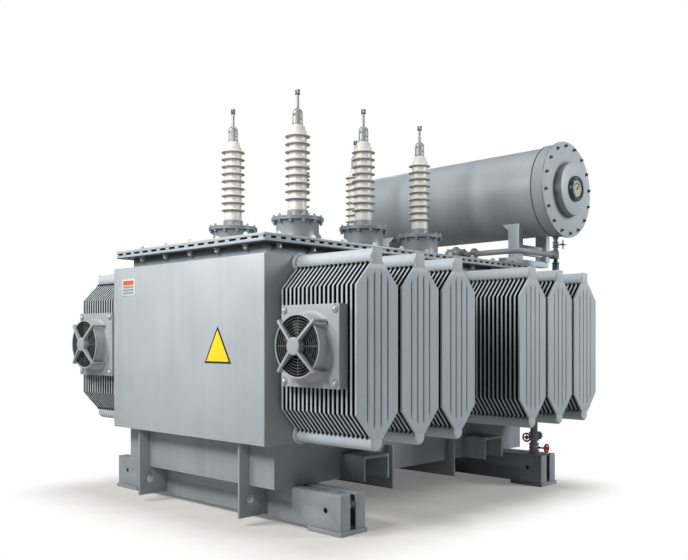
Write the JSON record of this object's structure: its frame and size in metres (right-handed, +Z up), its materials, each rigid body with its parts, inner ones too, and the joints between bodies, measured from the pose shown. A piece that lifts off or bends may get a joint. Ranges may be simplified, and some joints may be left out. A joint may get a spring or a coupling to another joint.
{
  "type": "power transformer",
  "caption": "Oil-filled power transformer: box tank on twin skids, panel radiators with fans on both sides, two rows of porcelain bushings and a cylindrical conservator.",
  "frame": {"origin": "on the ground under the centre of the whole object's box", "axes": "+X along the tank from the fan end to the conservator end, +Y to the far radiators, +Z up"},
  "size_m": [5.4004, 4.433, 4.281],
  "materials": {
    "tank_paint": "satin grey enamel",
    "radiator_paint": "satin grey enamel",
    "fan_paint": "light grey enamel",
    "fitting_paint": "grey enamel",
    "rotor_paint": "black enamel",
    "wheel_paint": "red enamel",
    "breather_paint": "dark grey-green enamel",
    "gauge_paint": "dark dial housing",
    "gasket_rubber": "black",
    "porcelain": "cream glaze",
    "terminal_metal": "cast, satin"
  },
  "bodies": {
    "transformer": {"sole_plates": "tank_paint", "skid_front": "tank_paint", "skid_rear": "tank_paint", "skid_battens": "tank_paint", "underbase": "tank_paint", "hauling_plates": "tank_paint", "cross_plates": "tank_paint", "jacking_brackets": "tank_paint", "tank": "tank_paint", "tank_rim": "tank_paint", "tank_gasket": "gasket_rubber", "tank_cover": "tank_paint", "radiator_near_1": "radiator_paint", "radiator_near_2": "radiator_paint", "radiator_near_3": "radiator_paint", "radiator_near_4": "radiator_paint", "radiator_near_5": "radiator_paint", "radiator_near_6": "radiator_paint", "radiator_far_1": "radiator_paint", "radiator_far_2": "radiator_paint", "radiator_far_3": "radiator_paint", "radiator_far_4": "radiator_paint", "radiator_far_5": "radiator_paint", "radiator_far_6": "radiator_paint", "fan_boxes": "fan_paint", "fan_guards": "fan_paint", "bushing_turrets": "tank_paint", "bushing_feet": "terminal_metal", "bushing_porcelain_near": "porcelain", "bushing_porcelain_far": "porcelain", "bushing_terminals": "terminal_metal", "conservator_shell": "tank_paint", "conservator_collar": "tank_paint", "conservator_cover": "tank_paint", "level_gauge": "gauge_paint", "conservator_head": "tank_paint", "conservator_beams": "tank_paint", "conservator_posts": "tank_paint", "conservator_braces": "tank_paint", "gas_relay": "fitting_paint", "relay_pipe": "fitting_paint", "drop_pipe": "fitting_paint", "breather": "breather_paint", "drain_pipe": "fitting_paint"},
    "fan_rotor_front_near": {"fan_rotor_front_near": "rotor_paint"},
    "fan_rotor_front_far": {"fan_rotor_front_far": "rotor_paint"},
    "fan_rotor_rear_near": {"fan_rotor_rear_near": "rotor_paint"},
    "fan_rotor_rear_far": {"fan_rotor_rear_far": "rotor_paint"},
    "handwheel_upper": {"handwheel_upper": "wheel_paint"},
    "handwheel_lower": {"handwheel_lower": "wheel_paint"},
    "valve_handle": {"valve_handle": "fitting_paint"}
  },
  "joints": [
    {"name": "fan_front_near_spin", "type": "hinge", "parent": "transformer", "child": "fan_rotor_front_near", "pos_m": [-2.57315, -1.7415, 1.655], "axis": [-1, 0, 0], "continuous": true},
    {"name": "fan_front_far_spin", "type": "hinge", "parent": "transformer", "child": "fan_rotor_front_far", "pos_m": [-2.57315, 1.7415, 1.655], "axis": [-1, 0, 0], "continuous": true},
    {"name": "fan_rear_near_spin", "type": "hinge", "parent": "transformer", "child": "fan_rotor_rear_near", "pos_m": [1.88345, -1.7415, 1.655], "axis": [1, 0, 0], "continuous": true},
    {"name": "fan_rear_far_spin", "type": "hinge", "parent": "transformer", "child": "fan_rotor_rear_far", "pos_m": [1.88345, 1.7415, 1.655], "axis": [1, 0, 0], "continuous": true},
    {"name": "handwheel_upper_turn", "type": "hinge", "parent": "transformer", "child": "handwheel_upper", "pos_m": [1.05115, -1.6735, 0.575], "axis": [-1, 0, 0], "range_deg": [0, 1080]},
    {"name": "handwheel_lower_turn", "type": "hinge", "parent": "transformer", "child": "handwheel_lower", "pos_m": [1.21515, -1.8375, 0.446], "axis": [0, -1, 0], "range_deg": [0, 1080]},
    {"name": "valve_handle_turn", "type": "hinge", "parent": "transformer", "child": "valve_handle", "pos_m": [2.10315, -1.519, 2.90531], "axis": [0, -1, 0], "range_deg": [0, 90]}
  ]
}
